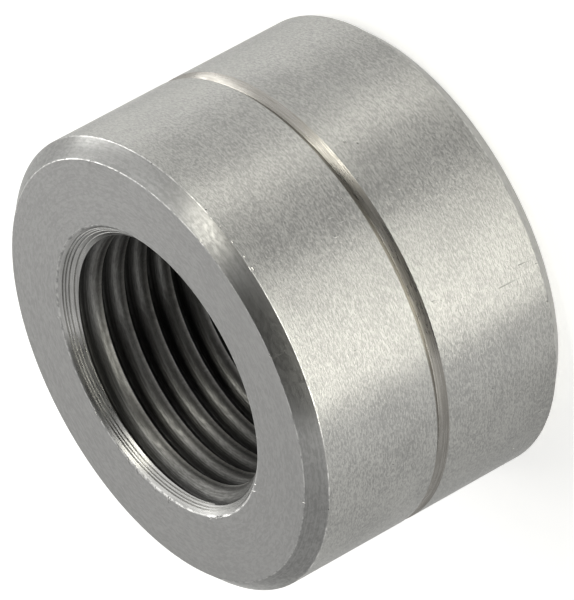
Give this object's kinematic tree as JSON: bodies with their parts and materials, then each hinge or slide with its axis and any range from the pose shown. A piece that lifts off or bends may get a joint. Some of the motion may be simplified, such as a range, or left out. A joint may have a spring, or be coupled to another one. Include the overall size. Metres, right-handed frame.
{
  "type": "weld-on socket",
  "caption": "Round turned steel socket with a threaded through bore, countersunk mouths, bevelled ends and a V-groove round the middle, for welding on to a pipe or tank wall.",
  "frame": {"origin": "centre of the weld end's face, which the socket stands on", "axes": "+Z along the bore axis, from the weld end to the threaded mouth; X and Y are free, because the socket is round"},
  "size_m": [0.026, 0.026, 0.017],
  "materials": {
    "turned_steel": "fine turned stainless steel, satin, lightly scuffed"
  },
  "bodies": {
    "root": {"weld_socket": "turned_steel"}
  },
  "joints": []
}
